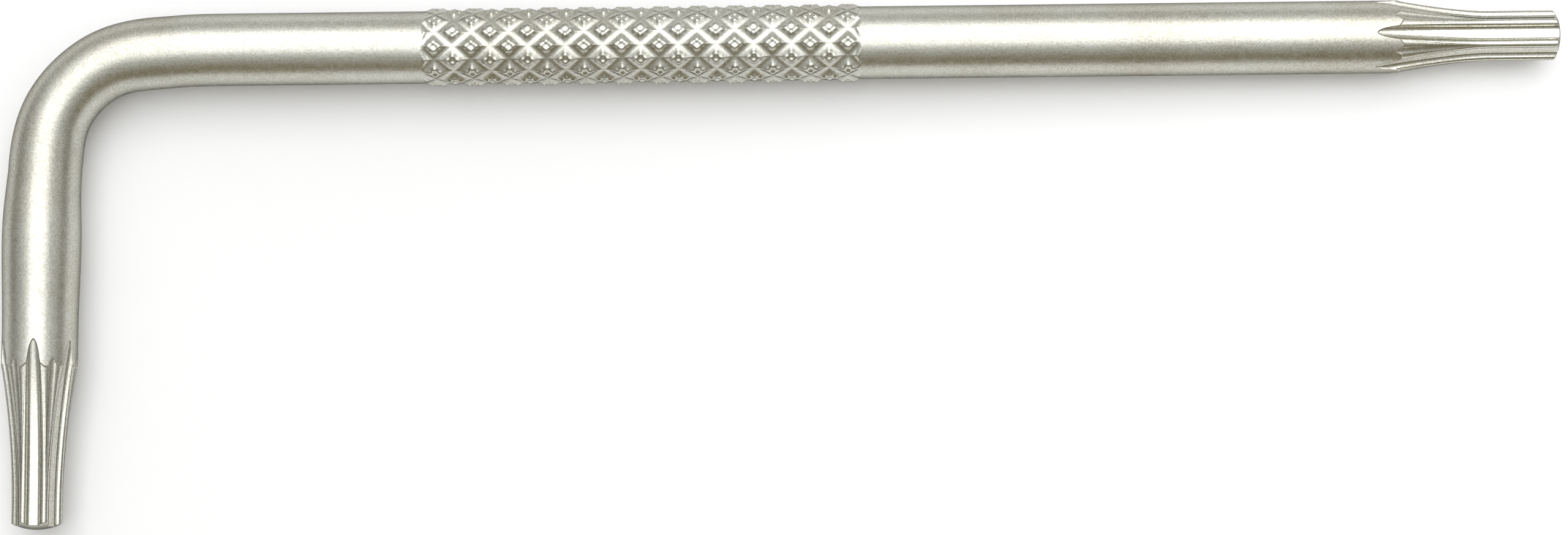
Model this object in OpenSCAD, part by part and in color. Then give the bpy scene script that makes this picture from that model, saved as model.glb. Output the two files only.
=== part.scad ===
// Star key: an L-shaped bar with a six-lobed star drive at each end and a knurled grip.
// The key lies flat. +X runs along the long arm to its star, -Y along the short arm, +Z is up.
// Lengths are in millimetres. Reaches are measured from the corner where the two arm axes cross.

/* [Bar] */
// Diameter of the bar
shank_d = 4.0; // [3:0.1:6]
// Reach of the long arm, from the corner to the end of its star
long_reach = 83.5; // [76:0.1:120]
// Reach of the short arm, from the corner to the end of its star
short_reach = 26.4; // [25:0.1:50]
// Radius of the bend at the bar's axis
bend_r = 6.4; // [5:0.1:9]
// Greatest diameter of the short arm, where bending has upset it
short_swell_d = 4.3; // [4:0.05:5]
// Place of that greatest diameter, from the corner
short_swell_at = 10.5; // [9.5:0.1:12]
// Diameter of the short arm where its neck begins
short_neck_d = 4.1; // [3.2:0.05:4.6]

/* [Star] */
// Star size across opposite lobes
star_a = 2.74; // [2.4:0.01:3.1]
// Star size across opposite valleys
star_b = 2.0; // [1.8:0.01:2.2]
// Radius of a lobe's crest
lobe_r = 0.225; // [0.2:0.005:0.25]
// Height of the rounded end of a star
crown_h = 0.34; // [0.1:0.02:0.6]
// Length of the parallel star on the long arm
long_star_l = 4.0; // [2:0.1:6]
// Length of the parallel star on the short arm
short_star_l = 1.0; // [0.8:0.1:3]
// Turn of the long star about its arm, from a valley that faces up towards +Y
long_star_turn = -2.5; // [-30:0.5:30]
// Turn of the short star about its arm, from a valley that faces up towards -X
short_star_turn = -4; // [-30:0.5:30]

/* [Necks] */
// Length of the long neck, from the points of its valleys on the bar to the star
long_neck_l = 6.25; // [5:0.05:9]
// Length of the short neck, from the points of its valleys on the bar to the star
short_neck_l = 9.3; // [6:0.05:10]
// How softly the long neck runs into the star: 1 is a straight cone, 2 one long curve
long_neck_ease = 1.5; // [1.2:0.1:2.4]
// How softly the short neck runs into the star
short_neck_ease = 2.0; // [1.2:0.1:2.4]
// Depth of the small groove on each ridge of a neck, as a share of the ridge's rise from the star
groove_share = 0.1; // [0.02:0.01:0.15]
// Radius of that groove
groove_bow_r = 0.27; // [0.2:0.01:0.6]

/* [Grip] */
// Diameter over the knurl's crests
knurl_d = 4.28; // [4.1:0.02:6.6]
// Depth of the knurl's grooves below the crests
knurl_depth = 0.22; // [0.15:0.01:0.45]
// Start of the knurl, from the corner
knurl_at = 21.1; // [14:0.1:30]
// Length of the knurl
knurl_l = 24.1; // [12:0.1:36]
// Length of one diamond along the bar
knurl_pitch = 2.06; // [1.4:0.02:3]
// Diamonds around the bar
knurl_count = 8; // [6:1:12]
// Turn of the knurl about the bar
knurl_turn = -8.3; // [-22:0.1:22]
// Depth of the hollow in a diamond's flat top
crater_depth = 0.06; // [0.02:0.01:0.1]

/* [Hidden] */
satin = [0.74, 0.73, 0.68];
$fn = 64;

shank_r = shank_d / 2;
swell_r = short_swell_d / 2;
knurl_r = knurl_d / 2;

// The part's origin is under the middle of its box, on the surface that it lies on.
widest_r = max(swell_r, knurl_r);
box_mid_x = (long_reach - swell_r) / 2;
box_mid_y = (knurl_r - short_reach) / 2;

// Star profile: lobe arcs and valley arcs that meet in tangents, six of each.
lobes = 6;
sector = 360 / lobes;
half_sector = sector / 2;
steps_per_sector = 20;
ring_steps = lobes * steps_per_sector;
lobe_c = star_a / 2 - lobe_r;
valley_floor = star_b / 2;
valley_r = (valley_floor ^ 2 + lobe_c ^ 2 - 2 * valley_floor * lobe_c * cos(half_sector) - lobe_r ^ 2)
    / (2 * (lobe_c * cos(half_sector) + lobe_r - valley_floor));
lobe_x = lobe_c * cos(half_sector);
lobe_y = lobe_c * sin(half_sector);

// Angle from the nearest valley, for an angle from the first valley
function off_valley(a) = abs((a + half_sector) - sector * floor((a + half_sector) / sector) - half_sector);
// Radius of the star at an angle from a valley, or of a neck where it stands out from the star by a share of
// the whole rise to its bar. Towards the bar the valleys narrow, their floors grow round, their edges sharpen
// and the ridges between them widen.
valley_narrowing = 0.49;
edge_sharpening = 0.88;
floor_flatness = 0.9;
function star_radius(a, rise = 0, share = 0) =
    let (
        out = rise * share,
        crest = norm([lobe_x + out, lobe_y]) + lobe_r,
        floor_r = valley_r * (1 - valley_narrowing * share),
        edge_r = lobe_r * (1 - edge_sharpening * share),
        floor_c = valley_floor + out + floor_r,
        edge_c = crest - edge_r,
        edge_at = acos((floor_c ^ 2 + edge_c ^ 2 - (floor_r + edge_r) ^ 2) / (2 * floor_c * edge_c)),
        edge_x = edge_c * cos(edge_at),
        edge_y = edge_c * sin(edge_at),
        meet = floor_r / (floor_r + edge_r),
        meet_at = atan2(edge_y * meet, floor_c + (edge_x - floor_c) * meet),
        on_floor = meet_at * min(a / meet_at, 1) ^ (1 + floor_flatness * (1 - share)),
        off_lobe = crest * sin(half_sector - a)
    )
    a < meet_at ? floor_c * cos(on_floor) - sqrt(floor_r ^ 2 - (floor_c * sin(on_floor)) ^ 2)
        : a < edge_at ? edge_c * cos(a - edge_at) + sqrt(edge_r ^ 2 - (edge_c * sin(a - edge_at)) ^ 2)
            : min(crest, crest - groove_share * out + off_lobe ^ 2 / (2 * groove_bow_r));
function polar(r, a, z) = [r * cos(a), r * sin(a), z];
function ring_angle(i) = i * 360 / ring_steps;

// A neck starts with a short stretch of round bar before the points of its valleys.
neck_lead = 0.4;
neck_rings = 14;
search_steps = 24;

// Places along the arms, from the corner
long_star_at = long_reach - long_star_l;
long_neck_at = long_star_at - long_neck_l - neck_lead;
long_shank_at = knurl_at + knurl_l;
short_star_at = short_reach - short_star_l;
short_neck_at = short_star_at - short_neck_l - neck_lead;

// Knurl lattice: rows of diamond centres and groove crossings that take turns around the bar.
least_bevel = 0.25;
row_step = knurl_pitch / 2;
rows = floor((knurl_l - 2 * least_bevel) / row_step);
bevel = (knurl_l - rows * row_step) / 2;
spokes = 2 * knurl_count;
spoke_angle = 360 / spokes;
groove_r = knurl_r - knurl_depth;
flat_share = 0.36;
corners = 8;

// Moves a sub-part from the corner's frame to the part's frame
module in_frame() {
    translate([-box_mid_x, -box_mid_y, widest_r]) children();
}

// Stands a sub-part on the long arm's axis, with its own z along the arm and its own x facing up
module on_long_arm(at) {
    in_frame() translate([at, 0, 0]) rotate([0, 90, 0]) rotate(180) children();
}

// Stands a sub-part on the short arm's axis, with its own z along the arm and its own x facing up
module on_short_arm(at) {
    in_frame() translate([0, -at, 0]) rotate([90, 0, 0]) rotate(90) children();
}

// Parallel star drive with a rounded end, from z = 0 to z = length
module star_drive(length) {
    end_r = star_a / 2;
    ball_r = (end_r ^ 2 + crown_h ^ 2) / (2 * crown_h);
    difference() {
        linear_extrude(length)
            polygon([for (i = [0 : ring_steps - 1]) let (a = ring_angle(i))
                star_radius(off_valley(a)) * [cos(a), sin(a)]]);
        difference() {
            translate([0, 0, length - crown_h]) cylinder(h = 2 * crown_h, r = star_a);
            translate([0, 0, length - ball_r]) sphere(r = ball_r);
        }
    }
}

// Neck from the round bar to the star: valleys that run out on the bar in pointed arches, between ridges
module star_neck(bar_r, length, ease) {
    function skin(a, z) = star_radius(a, bar_r - valley_floor, max(1 - z / length, 0) ^ ease);
    // Where the star's skin comes through the bar
    function edge_z(a, low, high, n) =
        let (mid = (low + high) / 2)
        n == 0 ? mid
            : skin(a, mid) > bar_r ? edge_z(a, mid, high, n - 1) : edge_z(a, low, mid, n - 1);
    offs = [for (i = [0 : ring_steps - 1]) off_valley(ring_angle(i))];
    edges = [for (a = offs) edge_z(a, 0, length, search_steps)];
    points = [
        for (i = [0 : ring_steps - 1]) polar(bar_r, ring_angle(i), 0),
        for (j = [0 : neck_rings - 1]) for (i = [0 : ring_steps - 1])
            let (z = edges[i] + (length - edges[i]) * j / (neck_rings - 1))
            polar(j == 0 ? bar_r : skin(offs[i], z), ring_angle(i), neck_lead + z)
    ];
    sides = [for (j = [0 : neck_rings - 1]) for (i = [0 : ring_steps - 1])
        let (low = j * ring_steps, high = low + ring_steps, next = (i + 1) % ring_steps)
        each [[low + i, high + i, high + next], [low + i, high + next, low + next]]];
    foot = [for (i = [0 : ring_steps - 1]) i];
    head = [for (i = [ring_steps - 1 : -1 : 0]) neck_rings * ring_steps + i];
    polyhedron(points, concat([foot], sides, [head]));
}

// Bar with rolled diamonds: pyramids with hollowed flat tops, and ends that bevel down to the bar
module knurl() {
    lattice = (rows + 1) * spokes;
    mids = rows * spokes;
    tops = (rows + 1) * knurl_count * corners;
    end_steps = 4 * knurl_count;
    function lattice_i(j, k) = j * spokes + (k + spokes) % spokes;
    function mid_i(j, k) = lattice + j * spokes + (k + spokes) % spokes;
    function top_i(j, c, i) = lattice + mids + (j * knurl_count + c) * corners + i;
    function end_i(side, i) = lattice + mids + tops + side * end_steps + i % end_steps;
    function row_z(j) = bevel + j * row_step;
    function spoke(j, c) = 2 * c + j % 2;
    // Corners and edge middles around a diamond, counter-clockwise from its +angle corner
    turn_k = [1, 0.5, 0, -0.5, -1, -0.5, 0, 0.5];
    turn_j = [0, 0.5, 1, 0.5, 0, -0.5, -1, -0.5];
    points = [
        for (j = [0 : rows]) for (k = [0 : spokes - 1])
            polar((j + k) % 2 == 0 ? knurl_r - crater_depth : groove_r, k * spoke_angle, row_z(j)),
        for (j = [0 : rows - 1]) for (k = [0 : spokes - 1])
            polar(groove_r, (k + 0.5) * spoke_angle, row_z(j + 0.5)),
        for (j = [0 : rows]) for (c = [0 : knurl_count - 1]) for (i = [0 : corners - 1])
            polar(knurl_r, (spoke(j, c) + flat_share * turn_k[i]) * spoke_angle,
                row_z(j + flat_share * turn_j[i])),
        for (side = [0, 1]) for (c = [0 : knurl_count - 1]) for (i = [0 : 3])
            let (k = spoke(side * rows, c) + [-1, -flat_share, 0, flat_share][i])
            polar(shank_r, k * spoke_angle, side * knurl_l)
    ];
    function rim(j, c) = let (k = spoke(j, c)) [
        lattice_i(j, k + 1), mid_i(j, k), lattice_i(j + 1, k), mid_i(j, k - 1),
        lattice_i(j, k - 1), mid_i(j - 1, k - 1), lattice_i(j - 1, k), mid_i(j - 1, k)];
    // The diamonds of the first and last rows are cut in half by the bevels
    function first_corner(j) = j == rows ? 4 : 0;
    function corner_count(j) = j == 0 || j == rows ? 4 : 8;
    diamonds = [for (j = [0 : rows]) for (c = [0 : knurl_count - 1])
        for (n = [0 : corner_count(j) - 1])
            let (i = first_corner(j) + n, next = (i + 1) % corners, out = rim(j, c))
            each [
                [out[i], top_i(j, c, next), out[next]],
                [out[i], top_i(j, c, i), top_i(j, c, next)],
                [top_i(j, c, i), lattice_i(j, spoke(j, c)), top_i(j, c, next)]
            ]];
    // Cut line of an end row, in the order of the end's own points
    function cut(j) = [for (c = [0 : knurl_count - 1]) let (k = spoke(j, c))
        each [lattice_i(j, k - 1), top_i(j, c, 4), lattice_i(j, k), top_i(j, c, 0)]];
    bevels = [for (i = [0 : end_steps - 1]) let (n = (i + 1) % end_steps, a = cut(0), b = cut(rows))
        each [
            [end_i(0, i), a[i], a[n]], [end_i(0, i), a[n], end_i(0, n)],
            [b[i], end_i(1, i), end_i(1, n)], [b[i], end_i(1, n), b[n]]
        ]];
    foot = [for (i = [0 : end_steps - 1]) end_i(0, i)];
    head = [for (i = [end_steps - 1 : -1 : 0]) end_i(1, i)];
    polyhedron(points, concat(diamonds, bevels, [foot, head]));
}

// Short arm's bar: swells from the bend, then narrows to its neck
module swelled_bar() {
    length = short_neck_at - bend_r;
    swell_z = short_swell_at - bend_r;
    steps = 12;
    function ease(t) = (1 - cos(180 * t)) / 2;
    function rise(t) = shank_r + (swell_r - shank_r) * ease(t);
    function fall(t) = swell_r + (short_neck_d / 2 - swell_r) * ease(t);
    rotate_extrude() polygon([
        [0, 0],
        for (i = [0 : steps]) [rise(i / steps), swell_z * i / steps],
        for (i = [1 : steps]) [fall(i / steps), swell_z + (length - swell_z) * i / steps],
        [0, length]
    ]);
}

module long_star() {
    color(satin) on_long_arm(long_star_at) rotate(-long_star_turn) star_drive(long_star_l);
}

module long_neck() {
    color(satin) on_long_arm(long_neck_at) rotate(-long_star_turn)
        star_neck(shank_r, long_neck_l, long_neck_ease);
}

module long_shank() {
    color(satin) on_long_arm(long_shank_at) cylinder(h = long_neck_at - long_shank_at, r = shank_r);
}

module knurled_grip() {
    color(satin) on_long_arm(knurl_at) rotate(-knurl_turn) knurl();
}

module middle_shank() {
    color(satin) on_long_arm(bend_r) cylinder(h = knurl_at - bend_r, r = shank_r);
}

module bend() {
    color(satin) in_frame() translate([bend_r, -bend_r, 0]) rotate(90)
        rotate_extrude(angle = 90) translate([bend_r, 0]) circle(r = shank_r);
}

module short_shank() {
    color(satin) on_short_arm(bend_r) swelled_bar();
}

module short_neck() {
    color(satin) on_short_arm(short_neck_at) rotate(short_star_turn)
        star_neck(short_neck_d / 2, short_neck_l, short_neck_ease);
}

module short_star() {
    color(satin) on_short_arm(short_star_at) rotate(short_star_turn) star_drive(short_star_l);
}

long_star();
long_neck();
long_shank();
knurled_grip();
middle_shank();
bend();
short_shank();
short_neck();
short_star();
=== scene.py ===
"""Dresses the star key: a fine mesh for each stretch of the bar, its metal, a floor, lamps and a camera."""
import math

import bpy
import numpy as np
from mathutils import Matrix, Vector


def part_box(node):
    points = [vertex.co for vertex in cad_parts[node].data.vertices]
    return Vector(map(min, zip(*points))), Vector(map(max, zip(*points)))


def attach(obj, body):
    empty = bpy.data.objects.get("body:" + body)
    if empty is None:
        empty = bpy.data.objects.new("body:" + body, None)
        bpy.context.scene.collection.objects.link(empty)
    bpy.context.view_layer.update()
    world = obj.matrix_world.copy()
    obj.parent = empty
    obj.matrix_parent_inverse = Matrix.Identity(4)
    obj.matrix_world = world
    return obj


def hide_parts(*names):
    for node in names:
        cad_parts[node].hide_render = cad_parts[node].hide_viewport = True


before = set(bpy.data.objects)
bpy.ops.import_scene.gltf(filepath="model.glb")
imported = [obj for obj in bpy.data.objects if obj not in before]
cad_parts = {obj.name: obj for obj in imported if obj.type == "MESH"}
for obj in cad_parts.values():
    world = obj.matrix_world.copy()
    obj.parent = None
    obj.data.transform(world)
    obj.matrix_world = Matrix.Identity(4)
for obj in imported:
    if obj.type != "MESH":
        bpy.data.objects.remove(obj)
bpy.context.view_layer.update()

MM = 0.001
UP = np.array([0.0, 0.0, 1.0])
TINY = 1e-6

# Sizes that the solids' boxes don't give are in millimetres, turns about the arms in degrees.
# Bar and bend, with the bend's flattening as a share of the bar's width
SHORT_SWELL_AT = 10.5
SHORT_NECK_R = 2.05
BEND_FLATTENING = 0.055
BEND_EASE = 0.165
BEND_EASE_AT = 0.7
BEND_EASE_L = 1.9

# Stars, from lobe to lobe and from valley to valley, with a crowned end
LOBES = 6
STAR_A = 2.74
STAR_B = 2.0
LOBE_R = 0.225
CROWN_H = 0.34
STAR_EDGE_R = 0.06
LONG_STAR_TURN = -2.5
SHORT_STAR_TURN = -4.0

# Necks, with shares and powers that shape their valleys and ridges
NECK_LEAD = 0.4
LONG_NECK_EASE = 1.5
SHORT_NECK_EASE = 2.0
VALLEY_NARROWING = 0.49
EDGE_SHARPENING = 0.88
FLOOR_FLATNESS = 0.9
RIDGE_GROOVE_SHARE = 0.1
RIDGE_GROOVE_R = 0.27
RIDGE_ROUNDING = 0.04
VALLEY_SIDE_POWER = 4
GROOVE_SIDE_POWER = 1.5
SHOULDER_H = 0.035
SHOULDER_L = 0.07

# Knurl's lattice of diamonds
KNURL_R = 2.14
KNURL_DEPTH = 0.22
KNURL_PITCH = 2.06
KNURL_COUNT = 8
KNURL_TURN = -8.3
KNURL_CHAMFER = 0.5
LEAST_BEVEL = 0.25

# A diamond's facets: heights as shares of the depth, at places from its middle at 0 to its border at 1
GROOVE_SHARE = 0.70
FACET_PLACE = [0.0, 0.39, 0.49, 0.61, GROOVE_SHARE]
FACET_HEIGHT = [0.68, 0.72, 0.55, 0.37, 0.21]
TOP_HEIGHT = FACET_HEIGHT[1]
GROOVE_EDGE_HEIGHT = FACET_HEIGHT[-1]

# The petals on a diamond's top, and small differences of height between diamonds
PETAL_ALONG = 0.29
PETAL_AROUND = 0.24
PETAL_R = 0.15
PETAL_FOOT = 0.20
PETAL_TOP = 0.95
CELL_VARIATION = 0.07
CELL_SEED = 4
SPARE_ROWS = 4

# The grooves' run-out at the knurl's ends
GROOVE_FADE = 0.55
GROOVE_LIFT = 0.16
FADE_START = 0.5

# Fineness of the meshes
KNURL_STEPS = 16
STAR_STEPS = 96
OUTLINE_SAMPLES = 2001
BEND_RINGS = 120
SHANK_RING_GAP = 0.5
SWELL_RING_GAP = 0.25
FINE_RING_GAP = 0.05
NECK_LEAD_RINGS = 4
NECK_RINGS = 72
RING_CROWDING = 1.6
EDGE_SEARCH_STEPS = 30
STAR_RINGS = 12
EDGE_RINGS = 6
CROWN_RINGS = 14
CROWN_MIDDLE_SHARE = 0.04


def box_mm(node):
    """Lowest and highest corner of a solid, in millimetres."""
    low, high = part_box(node)
    return np.array(low) / MM, np.array(high) / MM


# The corner where the arms' axes cross, and the sizes that the boxes give
long_low, long_high = box_mm("long_shank")
short_low, short_high = box_mm("short_shank")
CORNER = np.array([
    (short_low[0] + short_high[0]) / 2,
    (long_low[1] + long_high[1]) / 2,
    (long_low[2] + long_high[2]) / 2,
])
SHANK_R = (long_high[2] - long_low[2]) / 2
SWELL_R = (short_high[2] - short_low[2]) / 2
BEND_R = box_mm("middle_shank")[0][0] - CORNER[0]
BEND_L = BEND_R * math.pi / 2


def long_span(node):
    """Start and end of a stretch of the long arm, from the corner."""
    low, high = box_mm(node)
    return low[0] - CORNER[0], high[0] - CORNER[0]


def short_span(node):
    """Start and end of a stretch of the short arm, from the corner."""
    low, high = box_mm(node)
    return CORNER[1] - high[1], CORNER[1] - low[1]


KNURL_START, KNURL_END = long_span("knurled_grip")


def ease(t):
    """Smooth step from 0 to 1."""
    t = np.clip(t, 0.0, 1.0)
    return (1 - np.cos(math.pi * t)) / 2


# The key's axis runs from the short star through the bend to the long star.
# Its zero is where the long arm begins.
def along_long(reach):
    """Place on the axis of a distance from the corner along the long arm."""
    return reach - BEND_R


def along_short(reach):
    """Place on the axis of a distance from the corner along the short arm."""
    return BEND_R - reach - BEND_L


def bend_ease(along):
    """How far the bar lies inside a true arc, where it eases into the bend at both of its ends."""
    long_end = (along + BEND_EASE_AT) / BEND_EASE_L
    short_end = (along + BEND_L - BEND_EASE_AT) / BEND_EASE_L
    return BEND_EASE * (np.exp(-long_end ** 2) + np.exp(-short_end ** 2))


def skin(along, angle, radius, squeeze=1.0):
    """Points around the axis. Angles run from straight up towards the outside of the bend."""
    along, angle, radius = np.broadcast_arrays(along, angle, radius)
    turn = np.clip(-along / BEND_R, 0.0, math.pi / 2)
    past = np.where(along > 0, along, np.minimum(along + BEND_L, 0.0))
    flat = np.zeros_like(turn)
    outward = np.stack([-np.sin(turn), np.cos(turn), flat], axis=-1)
    ahead = np.stack([np.cos(turn), np.sin(turn), flat], axis=-1)
    centre = CORNER + np.array([BEND_R, -BEND_R, 0.0])
    axis = centre + (BEND_R - bend_ease(along))[..., None] * outward + past[..., None] * ahead
    sideways = (squeeze * radius * np.sin(angle))[..., None]
    upwards = (radius * np.cos(angle))[..., None]
    return axis + sideways * outward + upwards * UP


# Star profile: lobe arcs and valley arcs that meet in tangents
SECTOR = 2 * math.pi / LOBES
HALF = SECTOR / 2
LOBE_C = STAR_A / 2 - LOBE_R
LOBE_X = LOBE_C * math.cos(HALF)
LOBE_Y = LOBE_C * math.sin(HALF)
VALLEY_FLOOR = STAR_B / 2
VALLEY_R = (
    (VALLEY_FLOOR ** 2 + LOBE_C ** 2 - 2 * VALLEY_FLOOR * LOBE_X - LOBE_R ** 2)
    / (2 * (LOBE_X + LOBE_R - VALLEY_FLOOR))
)


def off_valley(angle):
    """Angle from the middle of the nearest valley."""
    return np.abs((angle + HALF) % SECTOR - HALF)


def half_chord(radius, off):
    """Half the chord of a circle at a distance from its middle."""
    return np.sqrt(np.maximum(radius ** 2 - off ** 2, 0))


def ridge_lowering(off, out, crest, edge_at):
    """How much a neck's ridges are lower along their edges than in between."""
    groove_at = HALF - np.sqrt(2 * RIDGE_GROOVE_R * RIDGE_GROOVE_SHARE * out) / crest
    half_ridge = np.maximum(groove_at - edge_at, TINY) / 2
    across = np.clip((off - edge_at) / half_ridge - 1, -1, 1) ** 2
    from_valley = np.clip(off / edge_at, 0, 1) ** VALLEY_SIDE_POWER
    from_groove = np.clip((HALF - off) / np.maximum(HALF - groove_at, TINY), 0, 1) ** GROOVE_SIDE_POWER
    return RIDGE_ROUNDING * out * across * from_valley * from_groove


def star_radius(off, rise=0.0, share=0.0):
    """Radius at an angle from a valley, of the star or of a neck that stands out from it.

    A neck stands out by a share of its whole rise to the bar. Towards the bar the valleys narrow,
    their floors grow round, their edges sharpen and the ridges widen.
    """
    out = rise * share
    crest = np.hypot(LOBE_X + out, LOBE_Y) + LOBE_R
    floor_r = VALLEY_R * (1 - VALLEY_NARROWING * share)
    edge_r = LOBE_R * (1 - EDGE_SHARPENING * share)
    floor_c = VALLEY_FLOOR + out + floor_r
    edge_c = crest - edge_r
    edge_at = np.arccos((floor_c ** 2 + edge_c ** 2 - (floor_r + edge_r) ** 2) / (2 * floor_c * edge_c))
    meet = floor_r / (floor_r + edge_r)
    meet_x = floor_c + (edge_c * np.cos(edge_at) - floor_c) * meet
    meet_at = np.arctan2(edge_c * np.sin(edge_at) * meet, meet_x)
    on_floor = meet_at * np.minimum(off / meet_at, 1) ** (1 + FLOOR_FLATNESS * (1 - share))
    valley = floor_c * np.cos(on_floor) - half_chord(floor_r, floor_c * np.sin(on_floor))
    past = off - edge_at
    edge = edge_c * np.cos(past) + half_chord(edge_r, edge_c * np.sin(past))
    off_lobe = crest * np.sin(HALF - off)
    ridge = np.minimum(crest, crest - RIDGE_GROOVE_SHARE * out + off_lobe ** 2 / (2 * RIDGE_GROOVE_R))
    outline = np.where(off < meet_at, valley, np.where(past < 0, edge, ridge))
    return outline - ridge_lowering(off, out, crest, edge_at)


def star_angles():
    """Angles around the star that lie evenly along its outline."""
    fine = np.linspace(0.0, SECTOR, OUTLINE_SAMPLES)
    radius = star_radius(off_valley(fine))
    outline = np.hypot(np.diff(radius * np.cos(fine)), np.diff(radius * np.sin(fine)))
    run = np.concatenate([[0.0], np.cumsum(outline)])
    one = np.interp(np.linspace(0.0, run[-1], STAR_STEPS, endpoint=False), run, fine)
    return np.concatenate([one + SECTOR * i for i in range(LOBES)])


# Knurl: rows of diamonds, each with a four-petalled top round a small pit, and round grooves between them
SPOKES = 2 * KNURL_COUNT
SPOKE_ANGLE = 2 * math.pi / SPOKES
ROW_STEP = KNURL_PITCH / 2
KNURL_ROWS = math.floor((KNURL_END - KNURL_START - 2 * LEAST_BEVEL) / ROW_STEP)
FIRST_ROW = (KNURL_START + KNURL_END - KNURL_ROWS * ROW_STEP) / 2
LAST_CELL_ROW = KNURL_ROWS + 2 * SPARE_ROWS
GROOVE_R = KNURL_R - KNURL_DEPTH
cell_luck = np.random.RandomState(CELL_SEED)
CELL_HEIGHT = cell_luck.uniform(-CELL_VARIATION, CELL_VARIATION, (LAST_CELL_ROW + 1, SPOKES))
BAR_ANGLES = math.radians(KNURL_TURN) + np.arange(SPOKES * KNURL_STEPS) * SPOKE_ANGLE / KNURL_STEPS


def petals(along, around):
    """How far a point of a diamond's top stands up in one of its four petals, from 0 to 1."""
    beside = np.exp(-(along / PETAL_R) ** 2) * np.exp(-((around - PETAL_AROUND) / PETAL_R) ** 2)
    ahead = np.exp(-((along - PETAL_ALONG) / PETAL_R) ** 2) * np.exp(-(around / PETAL_R) ** 2)
    t = np.clip((beside + ahead - PETAL_FOOT) / (PETAL_TOP - PETAL_FOOT), 0.0, 1.0)
    return np.sin(math.pi / 2 * t)


def knurl_relief(reach, angle):
    """Height of the knurl over its grooves, as a share of its depth."""
    row = (reach - FIRST_ROW) / ROW_STEP
    spoke = (angle - math.radians(KNURL_TURN)) / SPOKE_ANGLE
    right = np.round((row + spoke) / 2)
    left = np.round((row - spoke) / 2)
    off_row = np.abs(row - (right + left))
    off_spoke = np.abs(spoke - (right - left))
    share = off_row + off_spoke
    facet = np.interp(share, FACET_PLACE, FACET_HEIGHT)
    groove = GROOVE_EDGE_HEIGHT * ((1 - share) / (1 - GROOVE_SHARE)) ** 2
    top = (1 - TOP_HEIGHT) * petals(off_row * ROW_STEP, off_spoke * SPOKE_ANGLE * KNURL_R)
    cell_row = np.clip(right + left + SPARE_ROWS, 0, LAST_CELL_ROW).astype(int)
    cell_spoke = (right - left).astype(int) % SPOKES
    return (np.where(share < GROOVE_SHARE, facet, groove) + top) * (1 + CELL_HEIGHT[cell_row, cell_spoke])


def bar_radius(reach, angle):
    """Radius of the long arm between the bend and its neck, knurl included."""
    height = knurl_relief(reach, angle)
    inside = np.minimum(reach - KNURL_START, KNURL_END - reach)
    blank = SHANK_R + (KNURL_R - SHANK_R) * ease(inside / KNURL_CHAMFER)
    lift = GROOVE_LIFT * np.clip(FADE_START - inside / GROOVE_FADE, 0.0, None)
    return np.minimum(blank, GROOVE_R + KNURL_DEPTH * height + lift)


def mark_sharp(mesh, sharp_rings, columns):
    """Marks the edges that run along the given rings as sharp."""
    ends = np.zeros(len(mesh.edges) * 2, dtype=np.int32)
    mesh.edges.foreach_get("vertices", ends)
    ring = ends.reshape(-1, 2) // columns
    sharp = (ring[:, 0] == ring[:, 1]) & np.isin(ring[:, 0], list(sharp_rings))
    layer = mesh.attributes.new("sharp_edge", "BOOLEAN", "EDGE")
    layer.data.foreach_set("value", sharp)


def build(node, rings, material, crease=(), shares=None):
    """Makes a closed piece from rings of points that follow the axis, and lets it stand for its solid."""
    rows, columns = rings.shape[:2]
    points = rings.reshape(-1, 3)
    index = np.arange(rows * columns).reshape(rows, columns)
    here, ahead = index[:-1], index[1:]
    quads = np.stack([here, ahead, np.roll(ahead, -1, 1), np.roll(here, -1, 1)], axis=-1).reshape(-1, 4)
    faces = quads.tolist()
    caps = [rings[0].mean(0), rings[-1].mean(0)]
    foot, head = len(points), len(points) + 1
    faces += [[foot, a, b] for a, b in zip(index[0], np.roll(index[0], -1))]
    faces += [[head, b, a] for a, b in zip(index[-1], np.roll(index[-1], -1))]
    mesh = bpy.data.meshes.new(node + "_skin")
    mesh.from_pydata((np.concatenate([points, caps]) * MM).tolist(), [], faces)
    mesh.shade_smooth()
    mark_sharp(mesh, {0, rows - 1, *crease}, columns)
    for name, values in (shares or {}).items():
        layer = mesh.attributes.new(name, "FLOAT", "POINT")
        layer.data.foreach_set("value", np.append(values.ravel(), [0.0, 0.0]).astype(np.float32))
    mesh.materials.append(material)
    piece = bpy.data.objects.new(node + "_skin", mesh)
    bpy.context.collection.objects.link(piece)
    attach(piece, "root")
    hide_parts(node)


def spaced(start, end, gap):
    """Even steps from start to end, about gap apart."""
    return np.linspace(start, end, max(2, math.ceil((end - start) / gap) + 1))


def build_bar(node, reaches, material, shares=None):
    """Makes a stretch of the long arm with the given places of its rings."""
    reach, angle = np.meshgrid(reaches, BAR_ANGLES, indexing="ij")
    rings = skin(along_long(reach), angle, bar_radius(reach, angle))
    build(node, rings, material, shares=shares)


def build_shanks(material):
    """Makes the plain stretches beside the knurl, on which its grooves run out."""
    start, end = long_span("middle_shank")
    plain = spaced(start, end - GROOVE_FADE, SHANK_RING_GAP)
    runout = spaced(end - GROOVE_FADE, end, FINE_RING_GAP)
    build_bar("middle_shank", np.append(plain[:-1], runout), material)
    start, end = long_span("long_shank")
    runout = spaced(start, start + GROOVE_FADE, FINE_RING_GAP)
    plain = spaced(start + GROOVE_FADE, end, SHANK_RING_GAP)
    build_bar("long_shank", np.append(runout[:-1], plain), material)


def build_knurl(material):
    """Makes the knurled grip."""
    reaches = spaced(KNURL_START, KNURL_END, ROW_STEP / KNURL_STEPS)
    reach, angle = np.meshgrid(reaches, BAR_ANGLES, indexing="ij")
    build_bar("knurled_grip", reaches, material, {"relief": knurl_relief(reach, angle)})


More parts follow.
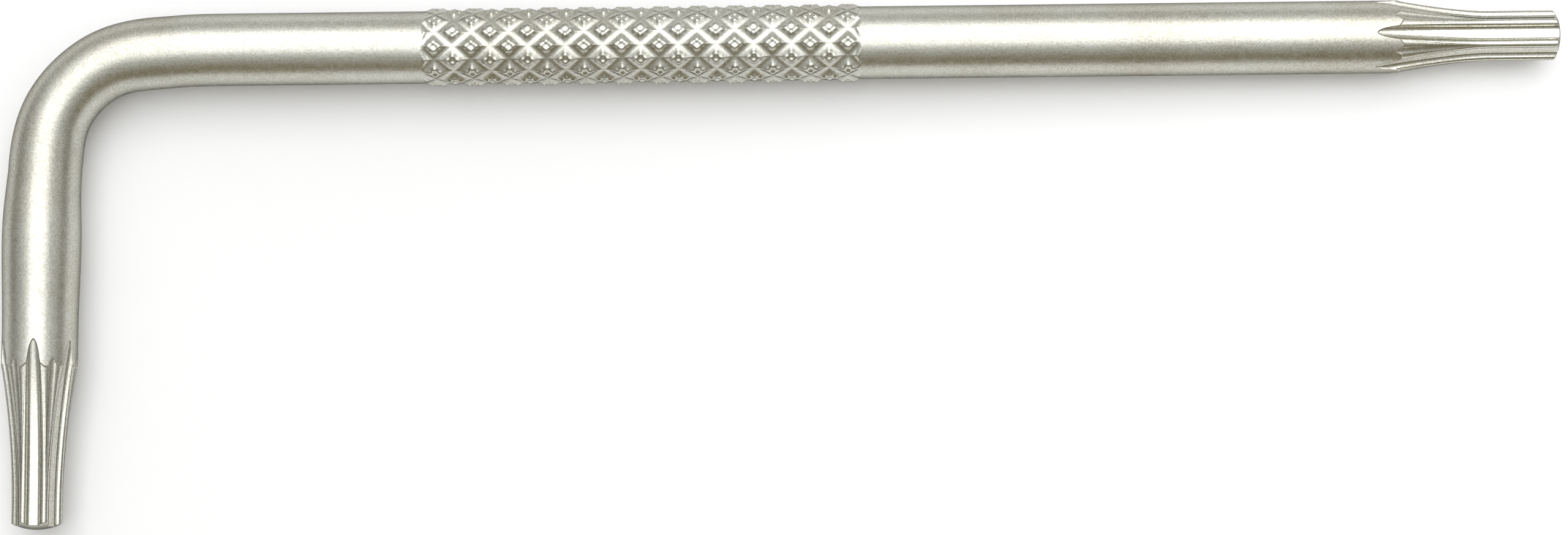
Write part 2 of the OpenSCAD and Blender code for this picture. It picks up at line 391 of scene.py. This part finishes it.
def build_bend(material):
    """Makes the bend, which is a little flattened across its middle."""
    along, angle = np.meshgrid(np.linspace(-BEND_L, 0.0, BEND_RINGS + 1), BAR_ANGLES, indexing="ij")
    squeeze = 1 - BEND_FLATTENING * np.sin(math.pi * along / BEND_L) ** 2
    rings = skin(along, angle, np.full_like(along, SHANK_R), squeeze)
    build("bend", rings, material)


def build_short_shank(material):
    """Makes the short arm's bar, which swells from the bend and narrows to its neck."""
    start, end = short_span("short_shank")
    reach, angle = np.meshgrid(spaced(start, end, SWELL_RING_GAP)[::-1], BAR_ANGLES, indexing="ij")
    rise = SHANK_R + (SWELL_R - SHANK_R) * ease((reach - start) / (SHORT_SWELL_AT - start))
    fall = SWELL_R + (SHORT_NECK_R - SWELL_R) * ease((reach - SHORT_SWELL_AT) / (end - SHORT_SWELL_AT))
    radius = np.where(reach < SHORT_SWELL_AT, rise, fall)
    build("short_shank", skin(along_short(reach), angle, radius), material)


def neck_rings(length, bar_r, ease_power):
    """Rings of a neck: distances from its start, radii, and the share of the way to the star."""
    off = off_valley(star_angles())

    def radius_at(z):
        return star_radius(off, bar_r - VALLEY_FLOOR, np.maximum(1 - z / length, 0) ** ease_power)

    # Where the valleys and ridges come through the bar
    low = np.zeros_like(off)
    high = np.full_like(off, length)
    for _ in range(EDGE_SEARCH_STEPS):
        middle = (low + high) / 2
        outside = radius_at(middle) > bar_r
        low = np.where(outside, middle, low)
        high = np.where(outside, high, middle)
    lead = np.linspace(0.0, 1.0, NECK_LEAD_RINGS, endpoint=False)[:, None] * (NECK_LEAD + low)
    run = np.linspace(0.0, 1.0, NECK_RINGS)[:, None] ** RING_CROWDING
    flutes = low + (length - low) * run
    # Forging leaves a low shoulder along the edge of the bar
    shoulder = SHOULDER_H * np.clip((flutes - low) / SHOULDER_L, 0.0, 1.0) * (1 - run)
    radius = radius_at(flutes) - shoulder
    radius[0] = bar_r
    return (
        np.concatenate([lead, NECK_LEAD + flutes]),
        np.concatenate([np.full_like(lead, bar_r), radius]),
        np.concatenate([np.zeros_like(lead), np.broadcast_to(run, flutes.shape)]),
    )


def build_neck(node, span, to_axis, turn, bar_r, ease_power, flipped, material):
    """Makes a neck from the round bar to a star, with valleys that run out in pointed arches."""
    start, end = span
    z, radius, polish = neck_rings(end - start - NECK_LEAD, bar_r, ease_power)
    angle = np.broadcast_to(math.radians(turn) + star_angles(), z.shape)
    rings = skin(to_axis(start + z), angle, radius)
    crease = NECK_LEAD_RINGS
    if flipped:
        rings, polish = rings[::-1], polish[::-1]
        crease = len(rings) - 1 - crease
    build(node, rings, material, [crease], {"polish": polish})


def build_star(node, span, to_axis, turn, flipped, material):
    """Makes a parallel star with a rounded end and a softened rim."""
    start, end = span
    outline = star_radius(off_valley(star_angles()))
    inner = outline - STAR_EDGE_R
    ball_r = ((STAR_A / 2) ** 2 + CROWN_H ** 2) / (2 * CROWN_H)

    def crown(radius):
        return end - ball_r + np.sqrt(ball_r ** 2 - radius ** 2)

    def rim(t, first, corner, last):
        return (1 - t) ** 2 * first + 2 * t * (1 - t) * corner + t ** 2 * last

    side_end = crown(outline) - STAR_EDGE_R
    side = start + (side_end - start) * np.linspace(0.0, 1.0, STAR_RINGS)[:, None]
    t = np.linspace(0.0, 1.0, EDGE_RINGS)[1:, None]
    top_radius = inner * np.linspace(1.0, CROWN_MIDDLE_SHARE, CROWN_RINGS)[1:, None]
    rim_reach = rim(t, side_end, crown(outline), crown(inner))
    rim_radius = rim(t, outline, outline, inner)
    reach = np.concatenate([side, rim_reach, crown(top_radius)])
    radius = np.concatenate([np.broadcast_to(outline, side.shape), rim_radius, top_radius])
    angle = np.broadcast_to(math.radians(turn) + star_angles(), reach.shape)
    rings = skin(to_axis(reach), angle, radius)
    if flipped:
        rings = rings[::-1]
    build(node, rings, material, shares={"polish": np.ones(rings.shape[:2])})


# Metals: patterns per metre, how strongly they show, and colours from dark to light
SPECKLE_PER_M = 9000
GRAIN_PER_M = 16000
MOTTLE_PER_M = 2500
CLOUD_PER_M = 140
PLAIN_DETAIL = 2.0
MOTTLE_DETAIL = 3.0
NOISE_ROUGHNESS = 0.6
NOISE_RANGE = (0.30, 0.70)
SPECKLE_RANGE = (0.08, 0.68)
CLOUD_RANGE = (-0.05, 0.25)
GRAIN_HEIGHT = 0.006
STEEL_DARK = (0.42, 0.39, 0.305)
STEEL_MIDDLE = (0.585, 0.58, 0.52)
STEEL_LIGHT = (0.725, 0.73, 0.69)
STEEL_EDGE_TINT = (0.25, 0.25, 0.24, 1.0)
SATIN_ROUGHNESS = (0.26, 0.38)
KNURL_ROUGHNESS = (0.24, 0.36)
WORN_RELIEF = (0.6, 1.0)
WORN_CHANGE = (0.0, -0.08)
POLISH_RANGE = (0.0, 0.6)
POLISH_CHANGE = (0.0, -0.14)
POLISH_GRAIN = (1.0, 0.5)


def add_node(tree, kind, **settings):
    """Adds a shader node and sets its inputs by name."""
    made = tree.nodes.new(kind)
    for name, value in settings.items():
        made.inputs[name.replace("_", " ")].default_value = value
    return made


def noise(tree, place, scale, detail=PLAIN_DETAIL):
    """Adds a noise pattern at the given fineness."""
    made = add_node(tree, "ShaderNodeTexNoise", Scale=scale, Detail=detail, Roughness=NOISE_ROUGHNESS)
    tree.links.new(place, made.inputs["Vector"])
    return made.outputs["Fac"]


def spread(tree, value, source, target):
    """Maps a range of values to another range."""
    made = add_node(
        tree, "ShaderNodeMapRange",
        From_Min=source[0], From_Max=source[1], To_Min=target[0], To_Max=target[1],
    )
    tree.links.new(value, made.inputs["Value"])
    return made.outputs["Result"]


def added(tree, first, second):
    """Adds two values."""
    made = tree.nodes.new("ShaderNodeMath")
    tree.links.new(first, made.inputs[0])
    tree.links.new(second, made.inputs[1])
    return made.outputs["Value"]


def tinted(tree, value, *colours):
    """Colours a value from 0 to 1 by even steps through the given colours."""
    made = tree.nodes.new("ShaderNodeValToRGB")
    stops = made.color_ramp.elements
    last = len(colours) - 1
    for i in range(1, last):
        stops.new(i / last)
    for stop, colour in zip(stops, colours):
        stop.color = (*colour, 1.0)
    tree.links.new(value, made.inputs["Fac"])
    return made.outputs["Color"]


def shared(tree, name):
    """Reads a value that the mesh carries on its points."""
    made = tree.nodes.new("ShaderNodeAttribute")
    made.attribute_name = name
    return made.outputs["Fac"]


def metal(name, roughness):
    """Makes a plated steel with a fine speckled grain.

    Returns the material, its varied roughness, which isn't linked yet, and its grain bump.
    """
    material = bpy.data.materials.new(name)
    material.use_nodes = True
    tree = material.node_tree
    shader = tree.nodes["Principled BSDF"]
    shader.inputs["Metallic"].default_value = 1.0
    shader.inputs["Specular Tint"].default_value = STEEL_EDGE_TINT
    place = tree.nodes.new("ShaderNodeTexCoord").outputs["Object"]
    speckle = spread(tree, noise(tree, place, SPECKLE_PER_M), NOISE_RANGE, SPECKLE_RANGE)
    cloud = spread(tree, noise(tree, place, CLOUD_PER_M), NOISE_RANGE, CLOUD_RANGE)
    colour = tinted(tree, added(tree, speckle, cloud), STEEL_DARK, STEEL_MIDDLE, STEEL_LIGHT)
    tree.links.new(colour, shader.inputs["Base Color"])
    rough = spread(tree, noise(tree, place, MOTTLE_PER_M, MOTTLE_DETAIL), NOISE_RANGE, roughness)
    bump = add_node(tree, "ShaderNodeBump", Strength=1.0, Distance=GRAIN_HEIGHT * MM)
    tree.links.new(noise(tree, place, GRAIN_PER_M), bump.inputs["Height"])
    tree.links.new(bump.outputs["Normal"], shader.inputs["Normal"])
    return material, rough, bump


def set_roughness(material, rough):
    """Links the roughness of a metal."""
    tree = material.node_tree
    tree.links.new(rough, tree.nodes["Principled BSDF"].inputs["Roughness"])


def make_satin_steel():
    """Makes the metal of the plain bar."""
    material, rough, _ = metal("satin_steel", SATIN_ROUGHNESS)
    set_roughness(material, rough)
    return material


def make_knurl_steel():
    """Makes the metal of the grip, which fingers have smoothed on the diamonds' tops."""
    material, rough, _ = metal("knurl_steel", KNURL_ROUGHNESS)
    tree = material.node_tree
    worn = spread(tree, shared(tree, "relief"), WORN_RELIEF, WORN_CHANGE)
    set_roughness(material, added(tree, rough, worn))
    return material


def make_star_steel():
    """Makes the metal of the necks and stars, which turns from satin on the bar to polished at the star."""
    material, rough, bump = metal("star_steel", SATIN_ROUGHNESS)
    tree = material.node_tree
    polish = shared(tree, "polish")
    smoother = spread(tree, polish, POLISH_RANGE, POLISH_CHANGE)
    set_roughness(material, added(tree, rough, smoother))
    tree.links.new(spread(tree, polish, POLISH_RANGE, POLISH_GRAIN), bump.inputs["Strength"])
    return material


# The nine stretches of the bar
satin_steel = make_satin_steel()
star_steel = make_star_steel()
build_shanks(satin_steel)
build_knurl(make_knurl_steel())
build_bend(satin_steel)
build_short_shank(satin_steel)
build_neck("long_neck", long_span("long_neck"), along_long, LONG_STAR_TURN,
           SHANK_R, LONG_NECK_EASE, False, star_steel)
build_star("long_star", long_span("long_star"), along_long, LONG_STAR_TURN, False, star_steel)
build_neck("short_neck", short_span("short_neck"), along_short, SHORT_STAR_TURN,
           SHORT_NECK_R, SHORT_NECK_EASE, True, star_steel)
build_star("short_star", short_span("short_star"), along_short, SHORT_STAR_TURN, True, star_steel)

# Floor and lamps, with places and sizes in metres. The tip card stands at an offset from the long star's end.
FLOOR_HALF = 2.0
FLOOR_COLOUR = (0.97, 0.97, 0.985, 1.0)
FLOOR_ROUGHNESS = 0.9
FLOOR_SHINE = 0.1
TOP_SOFTBOX_PLACE = (0.0, 0.25, 1.00)
TOP_SOFTBOX_SIZE = (0.95, 1.32)
TOP_SOFTBOX_RADIANCE = 1.3
TIP_CARD_OFFSET = (0.019175, 0.00387, 0.04285)
TIP_CARD_AIM = (-0.006825, -0.00013, 0.00085)
TIP_CARD_SIZE = (0.018, 0.046)
TIP_CARD_RADIANCE = 3.24
TIP_CARD_BEAM = 76.0
OPEN_BEAM = 180.0

# Colours of the room from its front to its back, at the horizon and overhead, and ranges of direction
HORIZON = [(0.25, 0.22, 0.14), (0.26, 0.25, 0.22), (0.567, 0.567, 0.543)]
OVERHEAD = [(0.203, 0.207, 0.203), (0.26, 0.263, 0.263), (0.55, 0.55, 0.55)]
FRONT_TO_BACK = (-0.8, 0.8)
HORIZON_TO_OVERHEAD = (0.35, 0.75)
GLOW_HEIGHTS = (0.40, 0.92)
GLOW = (1.0, 3.2)
WHOLE = (0.0, 1.0)


def build_floor():
    """Makes the pale floor that the key lies on."""
    mesh = bpy.data.meshes.new("floor")
    corners = [(-1, -1), (1, -1), (1, 1), (-1, 1)]
    mesh.from_pydata([(x * FLOOR_HALF, y * FLOOR_HALF, 0.0) for x, y in corners], [], [(0, 1, 2, 3)])
    floor = bpy.data.objects.new("floor", mesh)
    bpy.context.collection.objects.link(floor)
    material = bpy.data.materials.new("pale_floor")
    material.use_nodes = True
    shader = material.node_tree.nodes["Principled BSDF"]
    shader.inputs["Base Color"].default_value = FLOOR_COLOUR
    shader.inputs["Roughness"].default_value = FLOOR_ROUGHNESS
    shader.inputs["Specular IOR Level"].default_value = FLOOR_SHINE
    mesh.materials.append(material)


def add_softbox(name, place, aim, size, radiance, beam_angle):
    """Adds a rectangular soft lamp that shines from a place to a point, in a beam with soft sides."""
    half = math.radians(beam_angle) / 2
    beam = math.pi * (math.sin(half) ** 2 - (half - math.sin(2 * half) / 2) / math.tan(half))
    lamp = bpy.data.lights.new(name, "AREA")
    lamp.shape = "RECTANGLE"
    lamp.size, lamp.size_y = size
    lamp.energy = radiance * beam * size[0] * size[1]
    lamp.spread = 2 * half
    holder = bpy.data.objects.new(name, lamp)
    bpy.context.collection.objects.link(holder)
    holder.location = place
    holder.rotation_mode = "QUATERNION"
    holder.rotation_quaternion = (place - aim).to_track_quat("Z", "Y")


def build_world():
    """Lights the room with colours from its front to its back, and a glow that grows towards the top lamp."""
    world = bpy.data.worlds.new("studio")
    bpy.context.scene.world = world
    world.use_nodes = True
    tree = world.node_tree
    background = tree.nodes["Background"]
    place = tree.nodes.new("ShaderNodeTexCoord").outputs["Generated"]
    split = tree.nodes.new("ShaderNodeSeparateXYZ")
    tree.links.new(place, split.inputs["Vector"])
    height = split.outputs["Z"]
    back = spread(tree, split.outputs["Y"], FRONT_TO_BACK, WHOLE)
    colours = tree.nodes.new("ShaderNodeMixRGB")
    tree.links.new(spread(tree, height, HORIZON_TO_OVERHEAD, WHOLE), colours.inputs["Fac"])
    tree.links.new(tinted(tree, back, *HORIZON), colours.inputs["Color1"])
    tree.links.new(tinted(tree, back, *OVERHEAD), colours.inputs["Color2"])
    tree.links.new(colours.outputs["Color"], background.inputs["Color"])
    tree.links.new(spread(tree, height, GLOW_HEIGHTS, GLOW), background.inputs["Strength"])


build_floor()
build_world()
under_key = Vector((0.0, 0.0, 0.0))
long_tip = Vector((CORNER + np.array([long_span("long_star")[1], 0.0, 0.0])) * MM)
add_softbox("top_softbox", Vector(TOP_SOFTBOX_PLACE), under_key,
            TOP_SOFTBOX_SIZE, TOP_SOFTBOX_RADIANCE, OPEN_BEAM)
add_softbox("tip_card", long_tip + Vector(TIP_CARD_OFFSET), long_tip + Vector(TIP_CARD_AIM),
            TIP_CARD_SIZE, TIP_CARD_RADIANCE, TIP_CARD_BEAM)

# Camera at the photograph's place, in millimetres and degrees
CAMERA_PLACE = (3.972, -19.863, 179.811)
CAMERA_TURN = (6.288, 1.221, -0.417)
CAMERA_LENS = 75.0
CAMERA_SENSOR = 36.0
CAMERA_NEAR = 10.0
camera = bpy.data.objects.new("camera", bpy.data.cameras.new("camera"))
bpy.context.collection.objects.link(camera)
camera.location = [c * MM for c in CAMERA_PLACE]
camera.rotation_mode = "ZXY"
camera.rotation_euler = [math.radians(a) for a in CAMERA_TURN]
camera.data.lens = CAMERA_LENS
camera.data.sensor_width = CAMERA_SENSOR
camera.data.clip_start = CAMERA_NEAR * MM
bpy.context.scene.camera = camera
bpy.context.scene.view_settings.view_transform = "Standard"
